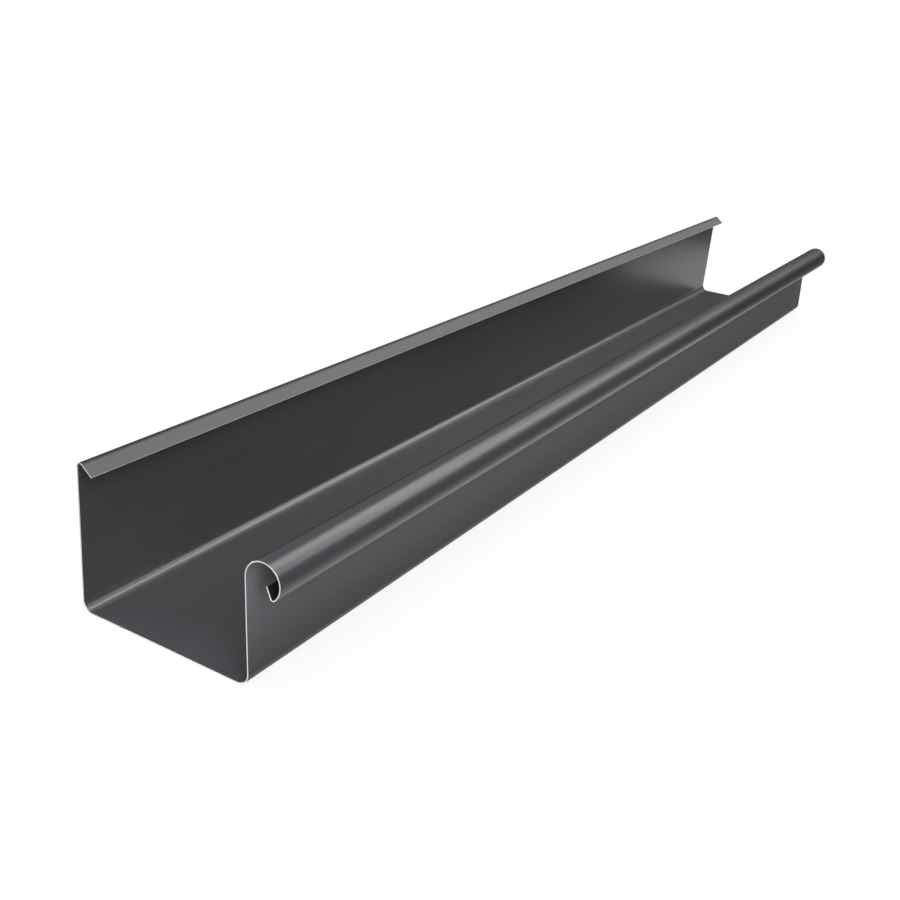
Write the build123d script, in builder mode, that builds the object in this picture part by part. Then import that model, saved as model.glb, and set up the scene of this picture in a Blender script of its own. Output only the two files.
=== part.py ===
from build123d import *
import math
import os

# Box gutter section, one strip of coated sheet, roll formed into a trough with a rolled front bead.
# X runs across the trough, from the wall side to the front. Y runs along it. Z is up.
# The origin lies under the middle of the section's overall box, on the surface that the floor rests on.

# Driving dimensions, in millimetres and degrees
gutter_length = 1000.0
sheet_thickness = 0.7
base_width = 120.0  # outside, from the rear wall to the front wall's foot
rear_height = 91.5  # outside, from the underside to the crown of the rear fold
front_height = 76.4  # outside, from the underside to the crown of the bead
bottom_bend_radius = 6.65  # inside, of both bends beside the floor
front_lean = 2.8  # degrees that the front wall leans towards the trough
bead_diameter = 22.6  # outside
bead_turn = 228.0  # degrees that the sheet turns through in the bead
hook_radius = 1.1  # inside, of the tight turn at the bead's lower edge
hook_turn = 110.0  # degrees that the sheet turns back through there
tongue_length = 6.6  # the straight end that stands inside the bead
rear_fold_radius = 1.65  # inside, of the fold at the top of the rear wall
lip_slope = 38.0  # degrees that the lip falls below level
lip_length = 9.1  # the straight part of the lip

# Radii of the sheet's middle line
half_sheet = sheet_thickness / 2
bottom_bend_middle = bottom_bend_radius + half_sheet
bead_middle = bead_diameter / 2 - half_sheet
hook_middle = hook_radius + half_sheet
rear_fold_middle = rear_fold_radius + half_sheet

# Straight lengths between the bends
quarter_turn = 90.0
lean_sine = math.sin(math.radians(front_lean))
lean_cosine = math.cos(math.radians(front_lean))
floor_start = half_sheet + bottom_bend_middle
floor_end = base_width - half_sheet - bottom_bend_middle
bead_centre_z = front_height - bead_diameter / 2
front_wall_foot_z = floor_start + bottom_bend_middle * lean_sine
front_wall_head_z = bead_centre_z - bead_middle * lean_sine
front_wall_length = (front_wall_head_z - front_wall_foot_z) / lean_cosine
rear_wall_length = rear_height - half_sheet - rear_fold_middle - floor_start

# The bead's outermost point sets the overall width
front_wall_foot_x = floor_end + bottom_bend_middle * lean_cosine
front_wall_head_x = front_wall_foot_x - front_wall_length * lean_sine
bead_centre_x = front_wall_head_x + bead_middle * lean_cosine
overall_width = bead_centre_x + bead_diameter / 2

with BuildPart() as gutter_section:
    # The section lies across the trough, and its rear wall stands at half the overall width
    with BuildSketch(Plane.XZ.shift_origin((-overall_width / 2, 0, 0))) as sheet_section:
        with BuildLine() as sheet_middle:
            trough_floor = Line((floor_start, half_sheet), (floor_end, half_sheet))
            # Front side: bend, leaning wall, rolled bead, hook and the tongue inside the bead
            front_bend = JernArc(
                trough_floor @ 1, trough_floor % 1, bottom_bend_middle, quarter_turn + front_lean
            )
            front_wall = PolarLine(front_bend @ 1, front_wall_length, direction=front_bend % 1)
            front_bead = JernArc(front_wall @ 1, front_wall % 1, bead_middle, -bead_turn)
            bead_hook = JernArc(front_bead @ 1, front_bead % 1, hook_middle, -hook_turn)
            tongue = PolarLine(bead_hook @ 1, tongue_length, direction=bead_hook % 1)
            # Rear side: bend, upright wall, fold and the lip that falls back over the trough
            rear_bend = JernArc(
                trough_floor @ 0, -(trough_floor % 0), bottom_bend_middle, -quarter_turn
            )
            rear_wall = PolarLine(rear_bend @ 1, rear_wall_length, direction=rear_bend % 1)
            rear_fold = JernArc(
                rear_wall @ 1, rear_wall % 1, rear_fold_middle, -(quarter_turn + lip_slope)
            )
            lip = PolarLine(rear_fold @ 1, lip_length, direction=rear_fold % 1)
        # The sheet has the same thickness all along that line, with ends cut square
        trace(line_width=sheet_thickness)
    extrude(amount=gutter_length / 2, both=True)

gutter_section.part.label = "gutter_section"

os.makedirs("parts", exist_ok=True)
export_step(gutter_section.part, "parts/gutter_section.step")

middle_line_length = sum(edge.length for edge in sheet_middle.edges())
print("overall width", round(overall_width, 3))
print("bead centre", round(bead_centre_x, 3), round(bead_centre_z, 3))
print("developed sheet width", round(middle_line_length, 3))
print("volume", round(gutter_section.part.volume, 1))
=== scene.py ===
import math
from collections import namedtuple

import bpy
from mathutils import Matrix, Vector, noise


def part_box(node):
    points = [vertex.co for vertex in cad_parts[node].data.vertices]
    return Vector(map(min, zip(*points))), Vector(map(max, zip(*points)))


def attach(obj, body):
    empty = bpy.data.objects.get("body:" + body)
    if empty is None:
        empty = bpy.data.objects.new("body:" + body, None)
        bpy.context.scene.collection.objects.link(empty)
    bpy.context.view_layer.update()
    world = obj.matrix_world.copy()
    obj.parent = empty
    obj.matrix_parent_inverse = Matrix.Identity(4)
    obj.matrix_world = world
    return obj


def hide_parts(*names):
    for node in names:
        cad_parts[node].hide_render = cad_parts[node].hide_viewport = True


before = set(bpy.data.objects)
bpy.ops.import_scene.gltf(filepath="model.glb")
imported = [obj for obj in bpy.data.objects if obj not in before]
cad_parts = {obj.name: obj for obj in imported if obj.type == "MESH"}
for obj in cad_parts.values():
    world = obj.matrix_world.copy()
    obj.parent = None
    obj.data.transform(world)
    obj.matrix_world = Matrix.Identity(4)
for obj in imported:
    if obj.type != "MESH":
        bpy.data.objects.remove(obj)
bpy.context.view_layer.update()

MM = 0.001

# The section, as the part's source has it, in metres and radians
sheet = 0.7 * MM
base_width = 119.98 * MM  # a hair under the part's 120, because the frame's box is of a coarser mesh
bottom_bend_radius = 6.65 * MM  # inside
front_lean = math.radians(2.8)
bead_diameter = 22.6 * MM  # outside
bead_turn = math.radians(228)
hook_radius = 1.1 * MM  # inside
hook_turn = math.radians(110)
tongue_length = 6.6 * MM
rear_fold_radius = 1.65 * MM  # inside
lip_slope = math.radians(38)
lip_length = 9.1 * MM
front_height = 76.4 * MM  # to the crown of the bead

# Overall sizes and the rear wall's face come from the frame
low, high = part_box("gutter_section")
rear_height = high.z - low.z
rear_face_x = low.x
end_y = (high.y - low.y) / 2

# The bead's middle. Heights, here and in the coatings, are above the underside
bead_centre_x = high.x - bead_diameter / 2
bead_centre_height = front_height - bead_diameter / 2

# Mesh detail
quarter_turn = math.pi / 2
arc_step = math.radians(4)
least_arc_steps = 4
wall_step = 9 * MM
least_wall_steps = 2
lip_steps = 4
tongue_steps = 3
ring_step = 8 * MM
edge_bevel = 0.07 * MM
slit_bevel = 0.20 * MM  # on the two long edges, where the slitting rolls chip the coating
least_cut_face = 1 / 3  # of the sheet's thickness, between those bevels
smooth_limit = math.radians(30)

# Slow, shallow waves that a rolled sheet keeps in its flat walls
wave_depth = {"floor": 0.16 * MM, "rear_wall": 0.12 * MM, "front_wall": 0.08 * MM}
wave_seed = {"floor": 0.0, "rear_wall": 5.0, "front_wall": 9.0}  # each wall has its own part of the noise
wave_length = 0.24
waves_across = 1.3  # from one side of a wall to the other

# Material slots: the strip's glossier face, its more matt back, its bare cut edges, and the hook's hollow,
# whose near-black coat is painted shade
FACE, BACK, EDGE, HOOK_SHADE = 0, 1, 2, 3

Station = namedtuple("Station", "x z heading wall share")


class Pen:
    """Walks along the sheet's middle line and notes stations: the place, its heading and its wall."""

    def __init__(self, x, z, heading):
        self.x = x
        self.z = z
        self.heading = heading
        self.stations = []

    def note(self, wall, share):
        self.stations.append(Station(self.x, self.z, self.heading, wall, share))

    def straight(self, length, wall="", steps=None):
        """A straight run. share goes from 0 to 1 along it."""
        steps = steps or max(least_wall_steps, round(length / wall_step))
        start_x, start_z = self.x, self.z
        for step in range(steps + 1):
            along = length * step / steps
            self.x = start_x + along * math.cos(self.heading)
            self.z = start_z + along * math.sin(self.heading)
            self.note(wall, step / steps)

    def arc(self, radius, turn, wall=""):
        """A round bend, to the left for a positive turn. A straight run that follows notes its end."""
        side = math.copysign(1, turn)
        centre_x = self.x - side * radius * math.sin(self.heading)
        centre_z = self.z + side * radius * math.cos(self.heading)
        steps = max(least_arc_steps, math.ceil(abs(turn) / arc_step))
        start = self.heading
        for step in range(1, steps + 1):
            self.heading = start + turn * step / steps
            self.x = centre_x + side * radius * math.sin(self.heading)
            self.z = centre_z - side * radius * math.cos(self.heading)
            if step < steps:
                self.note(wall, 0)


def middle_line():
    """The sheet's middle line from the lip's edge, down the rear wall, along the floor, into the bead."""
    half = sheet / 2
    bend = bottom_bend_radius + half
    bead = bead_diameter / 2 - half
    fold = rear_fold_radius + half
    floor_start = half + bend
    floor_length = base_width - 2 * floor_start
    wall_foot_z = floor_start + bend * math.sin(front_lean)
    wall_head_z = bead_centre_height - bead * math.sin(front_lean)

    rear = Pen(rear_face_x + floor_start, half, math.pi)
    rear.arc(bend, -quarter_turn)
    rear.straight(rear_height - half - fold - floor_start, "rear_wall")
    rear.arc(fold, -quarter_turn - lip_slope)
    rear.straight(lip_length, steps=lip_steps)

    front = Pen(rear_face_x + floor_start, half, 0)
    front.straight(floor_length, "floor")
    front.arc(bend, quarter_turn + front_lean)
    front.straight((wall_head_z - wall_foot_z) / math.cos(front_lean), "front_wall")
    front.arc(bead, -bead_turn)
    front.arc(hook_radius + half, -hook_turn, "hook")
    front.straight(tongue_length, "hook", tongue_steps)

    # The rear side was walked away from the floor, so it is read backwards with its headings turned about
    turned_about = [station._replace(heading=station.heading + math.pi) for station in rear.stations]
    return turned_about[::-1] + front.stations


def wave(station, y):
    """How far the sheet stands in from its true face, towards the trough, at a place on a flat wall."""
    wall, share = station.wall, station.share
    if wall not in wave_depth:
        return 0.0
    seed = wave_seed[wall]
    height = 0.5 + 0.5 * noise.noise(Vector((y / wave_length + seed, share * waves_across + seed, seed)))
    return wave_depth[wall] * height * math.sin(math.pi * share) ** 2


def off_line(station, y, distance):
    """The point at this distance to the left of the middle line."""
    x = station.x - distance * math.sin(station.heading)
    z = station.z + distance * math.cos(station.heading)
    return (x, y, z)


def draw_in(points, end, neighbour):
    """Moves the end point of one side of the sheet back along it, to make room for the bevel."""
    corner, inside = Vector(points[end]), Vector(points[neighbour])
    points[end] = tuple(corner + (inside - corner).normalized() * slit_bevel)


def section_ring(line, y, half):
    """One closed ring round the sheet at y, where the sheet is twice half thick."""
    lifts = [wave(station, y) for station in line]
    upper = [off_line(station, y, lift + half) for station, lift in zip(line, lifts)]
    lower = [off_line(station, y, lift - half) for station, lift in zip(line, lifts)]
    for points in (upper, lower):
        draw_in(points, 0, 1)
        draw_in(points, -1, -2)
    flat = max(half - slit_bevel, half * least_cut_face)
    first_up, first_down = off_line(line[0], y, flat), off_line(line[0], y, -flat)
    last_up, last_down = off_line(line[-1], y, flat), off_line(line[-1], y, -flat)
    return [first_up, *upper, last_up, last_down, *lower[::-1], first_down]


def section_rings(line):
    """The rings from the near end to the far end. The outermost two are thinner, for the bevel there."""
    half = sheet / 2
    inner = end_y - edge_bevel
    steps = round(2 * inner / ring_step)
    places = [-inner + 2 * inner * step / steps for step in range(steps + 1)]
    near_end = section_ring(line, -end_y, half - edge_bevel)
    far_end = section_ring(line, end_y, half - edge_bevel)
    return [near_end, *(section_ring(line, y, half) for y in places), far_end]


def side_slots(line):
    """The material slot of the faces between two rings, in the order of section_ring's points."""
    backward = line[::-1]
    # The lower side of the hook and its tongue takes the near-black coat, painted shade
    lower = [HOOK_SHADE if a.wall == b.wall == "hook" else BACK for a, b in zip(backward, backward[1:])]
    # The tongue's own edge takes the face coat instead of bare metal, as painted shade: it lies in the
    # bead's shade and shows no bright line in the photo
    return [EDGE] + [FACE] * (len(line) + 2) + lower + [EDGE] * 2


def sheet_mesh():
    """The rolled sheet as one closed mesh, with its faces on the material slots."""
    line = middle_line()
    rings = section_rings(line)
    round_slots = side_slots(line)
    size = len(rings[0])
    last_ring = len(rings) - 1
    faces, slots = [], []
    for ring in range(last_ring):
        at_end = ring in (0, last_ring - 1)
        near, far = ring * size, (ring + 1) * size
        for here, slot in enumerate(round_slots):
            beside = (here + 1) % size
            faces.append((near + here, near + beside, far + beside, far + here))
            slots.append(EDGE if at_end else slot)
    # The cut ends. A point and the one across the sheet from it have numbers that add up to the last one
    last_point = size - 1
    for ring, turned in ((0, True), (last_ring, False)):
        for here in range(len(line) + 1):
            beside = here + 1
            corners = (here, beside, last_point - beside, last_point - here)
            corners = tuple(ring * size + corner for corner in corners)
            faces.append(corners[::-1] if turned else corners)
            slots.append(EDGE)
    mesh = bpy.data.meshes.new("rolled_sheet")
    mesh.from_pydata([point for ring in rings for point in ring], [], faces)
    mesh.validate()
    for polygon, slot in zip(mesh.polygons, slots):
        polygon.material_index = slot
        polygon.use_smooth = True
    mesh.set_sharp_from_angle(angle=smooth_limit)
    return mesh


usual_noise = (0.3, 0.7)  # the range that a noise keeps to in most places
noise_roughness = 0.55


class Nodes:
    """A node tree with its output, and short ways to add and join nodes."""

    def __init__(self, tree, output):
        self.tree = tree
        self.tree.nodes.clear()
        self.output = self.add(output)

    def add(self, kind, **settings):
        node = self.tree.nodes.new(kind)
        for key, value in settings.items():
            setattr(node, key, value)
        return node

    def join(self, source, target):
        self.tree.links.new(source, target)

    def math(self, operation, first, second):
        """Either value is a number or another node's output."""
        node = self.add("ShaderNodeMath", operation=operation)
        for socket, value in zip(node.inputs, (first, second)):
            if isinstance(value, (int, float)):
                socket.default_value = value
            else:
                self.join(value, socket)
        return node.outputs["Value"]

    def product(self, first, *others):
        for other in others:
            first = self.math("MULTIPLY", first, other)
        return first


class Shader(Nodes):
    """A new material's nodes."""

    def __init__(self, name):
        self.material = bpy.data.materials.new(name)
        self.material.use_nodes = True
        super().__init__(self.material.node_tree, "ShaderNodeOutputMaterial")

    def place(self, stretch=(1, 1, 1), turn=0.0):
        """Object coordinates, with each axis scaled and turned about Z."""
        coordinates = self.add("ShaderNodeTexCoord")
        mapping = self.add("ShaderNodeMapping")
        mapping.inputs["Scale"].default_value = stretch
        mapping.inputs["Rotation"].default_value = (0, 0, turn)
        self.join(coordinates.outputs["Object"], mapping.inputs["Vector"])
        return mapping.outputs["Vector"]

    def split(self, vector):
        node = self.add("ShaderNodeSeparateXYZ")
        self.join(vector, node.inputs["Vector"])
        return node.outputs["X"], node.outputs["Y"], node.outputs["Z"]

    def position(self):
        """Where a point of the gutter is: across, along, and its height above the underside."""
        across, along, z = self.split(self.place())
        return across, along, self.math("SUBTRACT", z, low.z)

    def noise(self, stretch, detail):
        node = self.add("ShaderNodeTexNoise")
        node.inputs["Scale"].default_value = 1.0
        node.inputs["Detail"].default_value = detail
        node.inputs["Roughness"].default_value = noise_roughness
        self.join(self.place(stretch), node.inputs["Vector"])
        return node.outputs["Fac"]

    def spread(self, value, start, end, span=usual_noise):
        """Goes smoothly from start to end as the value crosses the span, and is level outside it."""
        node = self.add("ShaderNodeMapRange", interpolation_type="SMOOTHSTEP")
        node.inputs["From Min"].default_value = span[0]
        node.inputs["From Max"].default_value = span[1]
        node.inputs["To Min"].default_value = start
        node.inputs["To Max"].default_value = end
        self.join(value, node.inputs["Value"])
        return node.outputs["Result"]

    def blend(self, factor, dark, light):
        """Either colour is three numbers or another node's output."""
        node = self.add("ShaderNodeMix", data_type="RGBA")
        for name, value in (("A", dark), ("B", light)):
            if isinstance(value, tuple):
                node.inputs[name].default_value = (*value, 1)
            else:
                self.join(value, node.inputs[name])
        self.join(factor, node.inputs["Factor"])
        return node.outputs["Result"]

    def scale(self, color, factor):
        node = self.add("ShaderNodeVectorMath", operation="SCALE")
        self.join(color, node.inputs[0])
        self.join(factor, node.inputs["Scale"])
        return node.outputs["Vector"]

    def bump(self, height, distance, strength):
        node = self.add("ShaderNodeBump")
        node.inputs["Strength"].default_value = strength
        node.inputs["Distance"].default_value = distance
        self.join(height, node.inputs["Height"])
        return node.outputs["Normal"]

    def principled(self, color, roughness, normal):
        """The surface, with these joined to it, led to the output."""
        node = self.add("ShaderNodeBsdfPrincipled")
        self.join(color, node.inputs["Base Color"])
        self.join(roughness, node.inputs["Roughness"])
        self.join(normal, node.inputs["Normal"])
        self.join(node.outputs["BSDF"], self.output.inputs["Surface"])
        return node


# Colours, the range of roughness, and the specular level on plain coat and where the rolls burnish it
Coat = namedtuple("Coat", "name dark light roughness specular")
face_coat = Coat("face_coat", (0.054, 0.0545, 0.060), (0.064, 0.0645, 0.071), (0.28, 0.32), (0.42, 0.65))
back_coat = Coat("back_coat", (0.090, 0.0915, 0.098), (0.104, 0.1055, 0.1125), (0.46, 0.54), (0.04, 0.26))
# The hook's hollow: a near-black, duller coat that is painted shade
hook_shade_coat = Coat("hook_painted_shade", (0.010, 0.010, 0.011), (0.016, 0.016, 0.017), (0.55, 0.65), (0.05, 0.05))
coat_ior = 1.5

# The noises in a coating, in noise units per metre across, along and up: soft clouds of tone and gloss,
# bands along the strip, fine grain and orange peel
cloud_scale = (9, 4, 9)
band_scale = (60, 0.8, 60)
grain_scale = (1500, 1500, 1500)
peel_scale = (620, 620, 620)
cloud_share, band_share, grain_share = 0.5, 0.3, 0.2  # of the tone
mixed_noise = (0.35, 0.65)  # the three together vary less than one
peel_depth = 0.004 * MM
peel_strength = 0.6

# Bare metal on the cut edges, with fine shear marks and slower changes of burr
metal_dark, metal_light = (0.78, 0.79, 0.80), (0.93, 0.93, 0.93)
metal_roughness = (0.34, 0.48)
metal_share = 0.5
shear_scale = (2600, 2600, 2600)
burr_scale = (500, 120, 500)
shear_depth = 0.01 * MM
shear_strength = 0.5

# The rolls burnish the coating in the two bottom bends, and in the fold with its lip
burnish_start = base_width / 2 - bottom_bend_radius - sheet  # from the middle of the floor, across
burnish_top = bottom_bend_radius + sheet
burnish_edge = 1.2 * MM
burnish_lip = rear_height - lip_length * math.sin(lip_slope) - rear_fold_radius - sheet
bends_across = (burnish_start, burnish_start + burnish_edge)
bends_height = (burnish_top - burnish_edge, burnish_top)
lip_height = (burnish_lip - burnish_edge, burnish_lip)

# Shade that the photo has and the lamps don't give, as shares of a coat's colour, and the spans over which
# it comes in or goes out
front_across = (-10 * MM, 10 * MM)
# A near-black colour along the crown of the fold, painted shade
crown_shade_color = (0.018, 0.0185, 0.021)
crown_height = (rear_height - 1.3 * MM, rear_height - 0.15 * MM)
outer_change = (-0.54, 1.03)  # added outside the front wall, at the low end of its span and the high end: painted shade at the foot, painted light towards the bead
outer_height = (-15 * MM, 75 * MM)
behind_painted_shade = 0.75  # painted shade, taken away on the side of the bead that looks at the rear wall
behind_across = (bead_centre_x - 6.5 * MM, bead_centre_x - 2.5 * MM)
behind_height = (bead_centre_height - 1 * MM, bead_centre_height + 3 * MM)
band_painted_shade = (0.13, 0.45)  # painted shade, taken away in a band under the bead's highlight, near and far
band_along = (-50 * MM, 220 * MM)
band_foot = (bead_centre_height - 0.5 * MM, bead_centre_height + 3 * MM)
band_head = (bead_centre_height + 5.5 * MM, bead_centre_height + 9 * MM)
band_across = (bead_centre_x + 2 * MM, bead_centre_x + 6 * MM)


def burnished(shader):
    """1 in the bottom bends, the fold and the lip, 0 elsewhere."""
    across, _, height = shader.position()
    from_middle = shader.math("SUBTRACT", across, rear_face_x + base_width / 2)
    from_middle = shader.math("ABSOLUTE", from_middle, 0)
    outward = shader.spread(from_middle, 0, 1, bends_across)
    downward = shader.spread(height, 1, 0, bends_height)
    upward = shader.spread(height, 0, 1, lip_height)
    return shader.math("MAXIMUM", shader.product(outward, downward), upward)


def crown_shade_mask(shader):
    """Where the fold's crown takes its painted shade: 1 along the crown of the fold, 0 from a little way
    down the lip and the wall.
    """
    _, _, height = shader.position()
    return shader.spread(height, 0, 1, crown_height)


def outer_shade_and_light(shader):
    """On the front half the back coat is darker at the foot and lighter near the bead, as in the photo:
    painted shade at the foot, painted light near the bead.
    """
    across, _, height = shader.position()
    front = shader.spread(across, 0, 1, front_across)
    ramp = shader.spread(height, *outer_change, outer_height)
    return shader.math("ADD", shader.product(front, ramp), 1)


def bead_painted_shade(shader):
    """Painted shade: the face coat darkens behind the bead and in a band under its highlight, mostly in the
    far half.
    """
    across, along, height = shader.position()
    behind = shader.product(
        shader.spread(across, 0, 1, front_across),
        shader.spread(across, behind_painted_shade, 0, behind_across),
        shader.spread(height, 0, 1, behind_height),
    )
    band = shader.product(
        shader.spread(along, *band_painted_shade, band_along),
        shader.spread(height, 0, 1, band_foot),
        shader.spread(height, 1, 0, band_head),
        shader.spread(across, 0, 1, band_across),
    )
    return shader.math("SUBTRACT", 1, shader.math("ADD", behind, band))


def coating(coat, tone_at=None, crown=None):
    """Anthracite coil coating. tone_at gives a factor on its colour for painted shade and light, and crown
    a colour of painted shade for the fold's crown.
    """
    shader = Shader(coat.name)
    cloud = shader.noise(cloud_scale, detail=4)
    band = shader.noise(band_scale, detail=1)
    grain = shader.noise(grain_scale, detail=2)
    peel = shader.noise(peel_scale, detail=3)
    tone = shader.math("ADD", shader.product(cloud, cloud_share), shader.product(band, band_share))
    tone = shader.math("ADD", tone, shader.product(grain, grain_share))
    color = shader.blend(shader.spread(tone, 0, 1, mixed_noise), coat.dark, coat.light)
    # Painted shade and light on the colour, where the caller gives them
    if tone_at:
        color = shader.scale(color, tone_at(shader))
    if crown:
        color = shader.blend(crown_shade_mask(shader), color, crown)
    roughness = shader.spread(cloud, *coat.roughness)
    surface = shader.principled(color, roughness, shader.bump(peel, peel_depth, peel_strength))
    surface.inputs["IOR"].default_value = coat_ior
    # Where the level is the same all over, it stays on the socket
    plain, worked = coat.specular
    level = surface.inputs["Specular IOR Level"]
    level.default_value = plain
    if worked != plain:
        shader.join(shader.spread(burnished(shader), plain, worked, (0, 1)), level)
    return shader.material


def cut_metal():
    """Bare galvanised steel where the strip was slit and cut."""
    shader = Shader("bare_cut_edge")
    shear = shader.noise(shear_scale, detail=3)
    burr = shader.noise(burr_scale, detail=2)
    color = shader.blend(shader.spread(shear, 0, 1), metal_dark, metal_light)
    roughness = shader.spread(burr, *metal_roughness)
    surface = shader.principled(color, roughness, shader.bump(shear, shear_depth, shear_strength))
    surface.inputs["Metallic"].default_value = metal_share
    return shader.material


def make_gutter():
    mesh = sheet_mesh()
    # In the order of the material slots
    # The face coat, with painted shade on the bead
    mesh.materials.append(coating(face_coat, bead_painted_shade))
    # The back coat: painted shade and light on the front wall's outside, painted shade on the fold's crown
    mesh.materials.append(coating(back_coat, outer_shade_and_light, crown_shade_color))
    mesh.materials.append(cut_metal())
    # Painted shade inside the hook
    mesh.materials.append(coating(hook_shade_coat))
    gutter = bpy.data.objects.new("rolled_sheet", mesh)
    bpy.context.scene.collection.objects.link(gutter)
    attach(gutter, "root")
    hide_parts("gutter_section")


# The picture: the gutter lies on a bright board. To the camera, floor and surroundings are plain white
white = (1, 1, 1, 1)
floor_size = 60.0
floor_tone = 0.9  # as the camera sees it
board_tone, table_tone = 0.15, 0.06  # for the light that bounces
board_half = (0.063, 0.70)  # across and along the gutter, to where the board's brightness starts to fade
board_fade = 0.11
board_turn = math.radians(-3.8)  # the gutter lies slightly askew on it
shadow_kept = 0.14
shadow_reach = (0.65, 1.2)  # the floor's own shading fades to plain white between these distances
zenith_light = 0.10
sky_falloff = 0.5


def off_board(shader):
    """0 on the board, 1 beyond its soft edge."""
    across, along, _ = shader.split(shader.place(turn=board_turn))
    beyond = []
    for value, reach in zip((across, along), board_half):
        distance = shader.math("ABSOLUTE", value, 0)
        beyond.append(shader.spread(distance, 0, 1, (reach, reach + board_fade)))
    return shader.math("MAXIMUM", *beyond)


def white_floor():
    """Paper under plain white, which is there for the camera and, on the board, for mirrored rays."""
    shader = Shader("white_floor")
    path = shader.add("ShaderNodeLightPath")
    off = off_board(shader)

    paper = shader.add("ShaderNodeBsdfDiffuse")
    bounced = shader.spread(off, board_tone, table_tone, (0, 1))
    direct = shader.product(path.outputs["Is Camera Ray"], floor_tone)
    shader.join(shader.math("MAXIMUM", bounced, direct), paper.inputs["Color"])

    plain = shader.add("ShaderNodeEmission")
    plain.inputs["Color"].default_value = white
    plain.inputs["Strength"].default_value = 1.0

    # Near the gutter the floor keeps a share of its own shading, with the shadow. Far off it is plain white
    distance = shader.add("ShaderNodeVectorMath", operation="LENGTH")
    shader.join(shader.place(), distance.inputs[0])
    fade = shader.spread(distance.outputs["Value"], 1 - shadow_kept, 1, shadow_reach)
    mirrored = shader.math("MAXIMUM", path.outputs["Is Glossy Ray"], path.outputs["Is Transmission Ray"])
    mirrored = shader.product(mirrored, shader.math("SUBTRACT", 1, off))
    seen = shader.math("MAXIMUM", path.outputs["Is Camera Ray"], mirrored)

    mix = shader.add("ShaderNodeMixShader")
    shader.join(shader.product(fade, seen), mix.inputs["Fac"])
    shader.join(paper.outputs["BSDF"], mix.inputs[1])
    shader.join(plain.outputs["Emission"], mix.inputs[2])
    shader.join(mix.outputs["Shader"], shader.output.inputs["Surface"])
    return shader.material


def make_floor():
    half = floor_size / 2
    corners = [(-half, -half, 0), (half, -half, 0), (half, half, 0), (-half, half, 0)]
    mesh = bpy.data.meshes.new("studio_floor")
    mesh.from_pydata(corners, [], [(0, 1, 2, 3)])
    mesh.materials.append(white_floor())
    floor = bpy.data.objects.new("studio_floor", mesh)
    floor.location.z = low.z
    bpy.context.scene.collection.objects.link(floor)


def make_surroundings():
    """A sky that is brightest overhead and dark at the horizon. The camera sees plain white."""
    world = bpy.data.worlds.new("studio")
    bpy.context.scene.world = world
    world.use_nodes = True
    sky = Nodes(world.node_tree, "ShaderNodeOutputWorld")
    direction = sky.add("ShaderNodeTexCoord")
    split = sky.add("ShaderNodeSeparateXYZ")
    sky.join(direction.outputs["Generated"], split.inputs["Vector"])
    height = sky.math("MAXIMUM", split.outputs["Z"], 0)
    light = sky.product(sky.math("POWER", height, sky_falloff), zenith_light)
    path = sky.add("ShaderNodeLightPath")
    background = sky.add("ShaderNodeBackground")
    background.inputs["Color"].default_value = white
    sky.join(sky.math("MAXIMUM", light, path.outputs["Is Camera Ray"]), background.inputs["Strength"])
    sky.join(background.outputs["Background"], sky.output.inputs["Surface"])


lamp_ceiling = 2.57  # height of the overhead softboxes
power_factor = 4  # a softbox's power is this times its area and the brightness of its face


def softbox(name, place, size, radiance, target=None):
    """A softbox that shines straight down, or at its target."""
    width, length = size
    data = bpy.data.lights.new(name, "AREA")
    data.shape = "RECTANGLE"
    data.size = width
    data.size_y = length
    data.energy = power_factor * radiance * width * length
    lamp = bpy.data.objects.new(name, data)
    lamp.location = place
    if target:
        lamp.rotation_euler = (Vector(target) - lamp.location).to_track_quat("-Z", "Y").to_euler()
    bpy.context.scene.collection.objects.link(lamp)


def make_lights():
    """Overhead softboxes that the bead, the rear bend and the lip mirror, and fills in front and behind."""
    softbox("near_strip", place=(0.54, 2.1, lamp_ceiling), size=(1.92, 2.4), radiance=4.1)
    softbox("far_strip", place=(1.15, 4.4, lamp_ceiling), size=(0.7, 2.2), radiance=3.6)
    softbox("far_left", place=(0.19, 4.55, lamp_ceiling), size=(1.22, 2.5), radiance=0.5)
    softbox("far_right", place=(2.85, 3.95, lamp_ceiling), size=(2.7, 3.1), radiance=3.3)
    softbox("front_top", place=(1.89, -2.25, lamp_ceiling), size=(4.62, 2.5), radiance=2.0)
    softbox("front_low", place=(2.2, -2.6, 1.0), size=(3.0, 1.8), radiance=3.2, target=(0, -0.2, 0.1))
    softbox("back_low", place=(-2.2, -0.6, 1.0), size=(2.4, 1.6), radiance=5.0, target=(0, -0.6, 1.0))


# The photograph's view: from the front right, above the near end, with a slight roll
camera_place = Vector((373.7, -887.5, 349.7)) * MM
camera_heading = math.radians(30.33)
camera_tilt = math.radians(23.77)  # below level
camera_roll = math.radians(4.92)
sensor_width = 36  # this and the lens in a camera's own millimetres
lens = 46.38
frame_shift = 0.023  # to the side and up, as shares of the frame
clip_near, clip_far = 0.01, 100


def make_camera():
    data = bpy.data.cameras.new("photo_view")
    data.sensor_width = sensor_width
    data.lens = lens
    data.shift_x = frame_shift
    data.shift_y = frame_shift
    data.clip_start = clip_near
    data.clip_end = clip_far
    camera = bpy.data.objects.new("photo_view", data)
    turn = Matrix.Rotation(camera_heading, 4, "Z") @ Matrix.Rotation(quarter_turn - camera_tilt, 4, "X")
    camera.matrix_world = Matrix.Translation(camera_place) @ turn @ Matrix.Rotation(camera_roll, 4, "Z")
    bpy.context.scene.collection.objects.link(camera)
    bpy.context.scene.camera = camera


make_camera()
make_gutter()
make_floor()
make_surroundings()
make_lights()
bpy.context.scene.view_settings.view_transform = "Standard"
